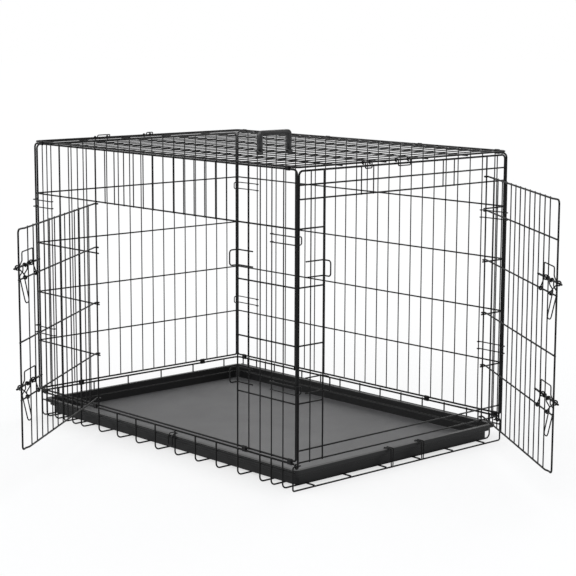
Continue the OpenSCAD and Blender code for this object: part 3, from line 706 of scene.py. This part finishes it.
def corner_hook(name, place, reach):
    """Twin-legged hook that wraps round a corner of the crate."""
    piece = Piece(name + "_wire", place)
    r = THIN + EYE + HOOK
    run = BAR_LAYER + r
    tip = reach + FRAME + 0.5 * MM + HOOK
    back = -END_INSET - FRAME - 2 * MM
    half = 9.5 * MM
    eyes = [(Vector((0, s, BAR_LAYER)), Z, -X, r) for s in (half, -half)]
    piece.wire([
        (0, half, run), (tip, half, run), (tip, half, back),
        (tip, -half, back), (tip, -half, run), (0, -half, run),
    ], HOOK, 4.5 * MM, eyes)
    piece.finish(name, WORN, [name])


def top_hook(name, place, width):
    """Short hook on the top panel's end wire."""
    piece = Piece(name + "_wire", place)
    r = FRAME + EYE + HOOK
    half = width / 2
    out, drop = 6.3 * MM, 12.4 * MM
    lean = math.radians(45)
    low = (r - drop * math.sin(lean), -out - drop * math.cos(lean))
    eyes = [(Vector((0, s, 0)), X, Z, r) for s in (-half, half)]
    piece.wire([
        (r, -half, 0), (r, -half, -out), (low[0], -half, low[1]),
        (low[0], half, low[1]), (r, half, -out), (r, half, 0),
    ], HOOK, 3 * MM, eyes)
    piece.finish(name, WORN, [name])


def all_hooks():
    """Corner hooks on the front and back panels, and top hooks on both ends."""
    mirror = Matrix.Scale(-1, 4, X)
    for side, place, reach, at_start, at_end in (
        ("front", FRONT, 2 * LONG, "left", "right"), ("back", BACK, 2 * BACK_PITCH, "right", "left"),
    ):
        for level, v in HOOK_HEIGHTS:
            start = Matrix.Translation((reach, v, 0))
            end = Matrix.Translation((LENGTH - reach, v, 0))
            corner_hook(f"{side}_{at_start}_{level}_hook", place @ start @ mirror, reach)
            corner_hook(f"{side}_{at_end}_{level}_hook", place @ end, reach)
    lean = Matrix.Rotation(math.radians(-45), 4, "Y")
    parked = Matrix.Rotation(math.radians(210), 4, "Y")
    for name, column, width in (("wide", 8.5, WIDE_HOOK), ("narrow", 5.5, NARROW_HOOK)):
        spot = Matrix.Translation((HALF_X, -HALF_Y + column * SHORT, TOP_Z))
        top_hook(f"right_{name}_top_hook", spot @ lean, width)
    for name, column, width in (("wide", 5.5, WIDE_HOOK), ("narrow", 9.5, NARROW_HOOK)):
        spot = Matrix.Translation((-HALF_X, -HALF_Y + column * SHORT, TOP_Z))
        top_hook(f"left_{name}_top_hook", spot @ parked @ mirror @ lean, width)


def tray_clips():
    """Clips over the tray's right rim."""
    half = 4.5 * MM
    over = TRAY_TOP + EYE + HOOK
    outside = PIN_X + BASE + 0.8 * MM + HOOK
    inside = TRAY_RIGHT - 14.6 * MM - HOOK
    low = 1.5 * MM + HOOK
    top = TRAY_TOP - 6 * MM
    for name, column in (("tray_clip_front", 8), ("tray_clip_back", 10.7)):
        piece = Piece(name + "_wire", Matrix.Translation((0, -HALF_Y + column * SHORT, 0)))
        piece.wire([
            (inside, -half, top), (inside, -half, over), (outside, -half, over),
            (outside, -half * 0.6, low), (outside, half * 0.6, low),
            (outside, half, over), (inside, half, over), (inside, half, top),
        ], HOOK, 2.6 * MM)
        piece.finish("tray", WORN, [name])


def tray_finger_stop():
    """Stop on the front of the base: a finger loop that reaches over the tray."""
    half = 8 * MM
    r = BASE + EYE + HOOK
    over = TRAY_TOP + 5 * MM + HOOK - MID_RAIL_Z
    inner = 15 * MM
    foot = -22 * MM
    place = Matrix.Translation((HALF_X - 11.5 * LONG, -HALF_Y, MID_RAIL_Z))
    piece = Piece("tray_finger_stop_wire", place)
    eyes = [(Vector((s, 0, 0)), -Y, Z, r) for s in (-half, half)]
    loop = [(-half, -r, 0), (-half, -r, foot), (half, -r, foot), (half, -r, 0)]
    piece.wire(loop, HOOK, 5 * MM, eyes)
    piece.wire([
        (-half, 0, r), (-half, 0, over), (-half, inner, over),
        (half, inner, over), (half, 0, over), (half, 0, r),
    ], HOOK - 0.2 * MM, 3 * MM)
    piece.finish("tray_finger_stop", WORN, ["tray_finger_stop"])


# ---------------------------------------------------------------------- tray

def tray():
    """Moulded tray: rolled lip, flat rim, stepped ledge and a pebbled floor."""
    low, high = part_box("tray")
    middle = (low + high) / 2
    size = high - low
    part = bmesh.new()
    inset, height = (value * MM for value in TRAY_PROFILE[0])
    made = bmesh.ops.create_grid(
        part, x_segments=1, y_segments=1, size=0.5,
        matrix=Matrix.Translation((middle.x, middle.y, low.z + height))
        @ Matrix.Diagonal((size.x - 2 * inset, size.y - 2 * inset, 1, 1)))
    bmesh.ops.bevel(
        part, geom=made["verts"], offset=TRAY_CORNER, offset_type="OFFSET", segments=8, profile=0.5,
        affect="VERTICES", material=-1)
    edges = part.edges[:]
    rings = edges[:]
    for next_inset, next_height in TRAY_PROFILE[1:]:
        made = bmesh.ops.extrude_edge_only(part, edges=edges)["geom"]
        verts = [item for item in made if isinstance(item, bmesh.types.BMVert)]
        edges = [item for item in made if isinstance(item, bmesh.types.BMEdge)]
        rings += edges
        grown = [1 - 2 * (next_inset * MM - inset) / (span - 2 * inset) for span in (size.x, size.y)]
        bmesh.ops.scale(
            part, verts=verts, vec=(*grown, 1), space=Matrix.Translation((-middle.x, -middle.y, 0)))
        bmesh.ops.translate(part, verts=verts, vec=(0, 0, next_height * MM - height))
        inset, height = next_inset * MM, next_height * MM
    floor = bmesh.ops.contextual_create(part, geom=edges)["faces"][0]
    # The floor face takes the second material, whose lighter grey is painted sheen
    floor.material_index = 1
    bmesh.ops.bevel(
        part, geom=rings, offset=TRAY_EDGE, offset_type="OFFSET", segments=3, profile=0.5,
        affect="EDGES", material=-1)
    piece = Piece("tray_shell")
    piece.take(part)
    shell = piece.finish("tray", [TRAY_RIM, TRAY_FLOOR_PAINTED_SHEEN], ["tray"])
    for polygon in shell.data.polygons:
        corners = [shell.data.vertices[i].co for i in polygon.vertices]
        shortest = min((a - b).length for a, b in zip(corners, corners[1:] + corners[:1]))
        polygon.use_smooth = shortest < 3 * TRAY_EDGE


# -------------------------------------------------------------- carry handle

def handle_foot():
    """Rounded square at the foot of one leg, with its edges and the leg's distance from the middle."""
    part = bmesh.new()
    half = GRIP_WIDTH / 2 - GRIP_THICK / 2
    made = bmesh.ops.create_grid(
        part, x_segments=1, y_segments=1, size=0.5,
        matrix=Matrix.Translation((0, -half, LEG_LOW)) @ Matrix.Diagonal((GRIP_THICK, GRIP_THICK, 1, 1)))
    bmesh.ops.bevel(
        part, geom=made["verts"], offset=2.6 * MM, offset_type="OFFSET", segments=4, profile=0.5,
        affect="VERTICES", material=-1)
    face = part.faces[:][0]
    edges = list(face.edges)
    bmesh.ops.reverse_faces(part, faces=[face])
    return part, edges, half


def handle_grip():
    """Round grip under the crown."""
    grip = bmesh.new()
    middle = Matrix.Translation((0, 0, GRIP_HEIGHT - GRIP_DEEP / 2))
    bmesh.ops.create_cone(
        grip, cap_ends=True, segments=28, radius1=GRIP_DEEP / 2, radius2=GRIP_DEEP / 2,
        depth=GRIP_LENGTH, matrix=middle @ Matrix.Rotation(math.pi / 2, 4, "X"))
    ends = [edge for edge in grip.edges if any(len(face.verts) > 4 for face in edge.link_faces)]
    bmesh.ops.bevel(
        grip, geom=ends, offset=3 * MM, offset_type="OFFSET", segments=4, profile=0.5,
        affect="EDGES", material=-1)
    return grip


def on_rim(edge):
    """Whether an edge of a shoe runs round one of its outer rims."""
    a, b = (vert.co for vert in edge.verts)
    near = 0.1 * MM
    outer = all(abs(co.xz.length - SHOE_RADIUS) < near for co in (a, b))
    return outer and abs(a.y - b.y) < near


def handle_shoe(side):
    """Bored foot that clips round the cross wire."""
    shoe = bmesh.new()
    start = side * SHOE_OUT - SHOE_LENGTH / 2 * (side + 1)
    for radius in (SHOE_RADIUS, SHOE_BORE):
        bmesh.ops.create_circle(
            shoe, segments=28, radius=radius,
            matrix=Matrix.Translation((0, start, 0)) @ Matrix.Rotation(-math.pi / 2, 4, "X"))
    bmesh.ops.bridge_loops(shoe, edges=shoe.edges)
    walls = bmesh.ops.extrude_face_region(shoe, geom=shoe.faces[:])["geom"]
    moved = [item for item in walls if isinstance(item, bmesh.types.BMVert)]
    bmesh.ops.translate(shoe, verts=moved, vec=(0, SHOE_LENGTH, 0))
    bmesh.ops.bevel(
        shoe, geom=[edge for edge in shoe.edges if on_rim(edge)], offset=1.2 * MM,
        offset_type="OFFSET", segments=3, profile=0.5, affect="EDGES", material=-1)
    return shoe


def carry_handle():
    """Strap-like moulded handle whose feet clip round a cross wire."""
    piece = Piece("carry_handle_grip", Matrix.Translation(JOINTS["carry_handle_swing"]["pos_m"]))
    part, edges, half = handle_foot()
    crown = GRIP_HEIGHT - GRIP_THICK / 2
    shoulder = crown - LEG_BEND
    edges = piece.run(part, edges, (0, 0, shoulder - LEG_LOW))
    edges = piece.spin(part, edges, Vector((0, -half + LEG_BEND, shoulder)), -X, math.pi / 2)
    edges = piece.run(part, edges, (0, 2 * (half - LEG_BEND), 0))
    edges = piece.spin(part, edges, Vector((0, half - LEG_BEND, shoulder)), -X, math.pi / 2)
    edges = piece.run(part, edges, (0, 0, LEG_LOW + LEG_BEND - crown))
    bmesh.ops.contextual_create(part, geom=edges)
    piece.take(part)
    piece.take(handle_grip())
    for side in (-1, 1):
        piece.take(handle_shoe(side))
    piece.finish("carry_handle", GRIP, ["carry_handle"])


# --------------------------------------------------------------- stage, view

def pale_floor():
    """Pale floor that is nearly white to the camera and keeps a soft shadow."""
    data = bpy.data.meshes.new("floor")
    plane = bmesh.new()
    bmesh.ops.create_grid(plane, x_segments=1, y_segments=1, size=30)
    plane.to_mesh(data)
    plane.free()
    floor = bpy.data.objects.new("floor", data)
    bpy.context.scene.collection.objects.link(floor)
    material = bpy.data.materials.new("white_floor")
    material.use_nodes = True
    tree = material.node_tree
    shader = tree.nodes["Principled BSDF"]
    shader.inputs["Base Color"].default_value = (0.82, 0.82, 0.82, 1)
    shader.inputs["Roughness"].default_value = 0.9
    shader.inputs["Specular IOR Level"].default_value = 0.0
    white = tree.nodes.new("ShaderNodeEmission")
    white.inputs["Strength"].default_value = 1.07
    mix = tree.nodes.new("ShaderNodeMixShader")
    path = tree.nodes.new("ShaderNodeLightPath")
    share = tree.nodes.new("ShaderNodeMath")
    share.operation = "MULTIPLY"
    share.inputs[1].default_value = 0.62
    tree.links.new(path.outputs["Is Camera Ray"], share.inputs[0])
    tree.links.new(share.outputs[0], mix.inputs["Fac"])
    tree.links.new(shader.outputs[0], mix.inputs[1])
    tree.links.new(white.outputs[0], mix.inputs[2])
    tree.links.new(mix.outputs[0], tree.nodes["Material Output"].inputs["Surface"])
    data.materials.append(material)


def white_world():
    """Surroundings that light the crate softly and look white."""
    world = bpy.data.worlds.new("studio")
    bpy.context.scene.world = world
    world.use_nodes = True
    tree = world.node_tree
    lit = tree.nodes["Background"]
    lit.inputs["Color"].default_value = (0.95, 0.97, 1, 1)
    lit.inputs["Strength"].default_value = 0.55
    seen = tree.nodes.new("ShaderNodeBackground")
    seen.inputs["Color"].default_value = (1, 1, 1, 1)
    seen.inputs["Strength"].default_value = 1.0
    path = tree.nodes.new("ShaderNodeLightPath")
    either = tree.nodes.new("ShaderNodeMath")
    either.operation = "MAXIMUM"
    both = tree.nodes.new("ShaderNodeMath")
    both.operation = "MAXIMUM"
    mix = tree.nodes.new("ShaderNodeMixShader")
    tree.links.new(path.outputs["Is Camera Ray"], either.inputs[0])
    tree.links.new(path.outputs["Is Glossy Ray"], either.inputs[1])
    tree.links.new(either.outputs[0], both.inputs[0])
    tree.links.new(path.outputs["Is Transmission Ray"], both.inputs[1])
    tree.links.new(both.outputs[0], mix.inputs["Fac"])
    tree.links.new(lit.outputs[0], mix.inputs[1])
    tree.links.new(seen.outputs[0], mix.inputs[2])
    tree.links.new(mix.outputs[0], tree.nodes["World Output"].inputs["Surface"])


def soft_suns():
    """Broad soft suns, which light the floor evenly out to its edge."""
    for name, spot, strength, breadth in (
        ("key", (1.6, -3.2, 3.3), 1.27, 32),
        ("fill", (-3.4, -2.2, 2.3), 0.66, 40),
        ("back", (-1.0, 3.4, 2.9), 0.91, 34),
    ):
        lamp = bpy.data.lights.new(name, "SUN")
        lamp.energy = strength
        lamp.angle = math.radians(breadth)
        light = bpy.data.objects.new(name, lamp)
        light.location = spot
        light.rotation_euler = (-Vector(spot)).to_track_quat("-Z", "Y").to_euler()
        bpy.context.scene.collection.objects.link(light)


def camera():
    """Camera at the height of a person's waist, off the right front corner."""
    data = bpy.data.cameras.new("camera")
    data.sensor_width = 36
    data.lens = 105.6
    view = bpy.data.objects.new("camera", data)
    yaw, pitch, roll = math.radians(137.586), math.radians(-9.170), math.radians(0.206)
    forward = Vector((math.cos(pitch) * math.cos(yaw), math.cos(pitch) * math.sin(yaw), math.sin(pitch)))
    right = forward.cross(Z).normalized()
    up = right.cross(forward)
    side = math.cos(roll) * right + math.sin(roll) * up
    over = -math.sin(roll) * right + math.cos(roll) * up
    view.matrix_world = place_at((3.3633, -2.9818, 1.1107), side, over, -forward)
    bpy.context.scene.collection.objects.link(view)
    bpy.context.scene.camera = view


# --------------------------------------------------------------------- build

def recoat(node, material):
    """Gives a CAD node that keeps its shape a finish of its own."""
    data = frame["nodes"][node].data
    data.materials.clear()
    data.materials.append(material)


camera()
pale_floor()
white_world()
soft_suns()
bpy.context.scene.view_settings.view_transform = "Standard"
front_panel()
plain_panel("back_panel", "root", BACK, LENGTH, PANEL, BACK_SPACES)
plain_panel("left_end_panel", "left_end_panel", LEFT, WIDTH, END_HEIGHT, SHORT_SPACES, END_INSET)
right_end_panel()
top_panel()
base_frame()
tray()
door("front_door", "front", FRONT_DOOR, FRONT_RAILS)
door("end_door", "end", END_DOOR, END_RAILS)
for side, width, rails in (("front", FRONT_DOOR, FRONT_RAILS), ("end", END_DOOR, END_RAILS)):
    for level, row in LATCH_RAILS:
        bolt_v = rails[row] + LATCH_RISE
        guide(side, level, width, bolt_v)
        latch_handle(side, level, width, bolt_v)
        recoat(f"{side}_{level}_bolt", WORN)
front_jamb = FRONT @ Matrix.Translation((LENGTH - FRONT_LATCH * LONG, 0, JAMB_LAYER))
end_jamb = RIGHT @ Matrix.Translation((END_LATCH * SHORT, 0, JAMB_LAYER)) @ Matrix.Scale(-1, 4, X)
for side, jamb, rails, pitch in (
    ("front", front_jamb, FRONT_RAILS, LONG), ("end", end_jamb, END_RAILS, SHORT),
):
    strikers(side, jamb, [rails[row] + LATCH_RISE + STRIKER_LIFT for _, row in LATCH_RAILS], pitch)
all_hooks()
tray_clips()
tray_finger_stop()
carry_handle()
for node in ("front_top_clips", "back_top_clips", "front_base_clips", "back_base_clips", "left_end_clips"):
    recoat(node, STRIP)
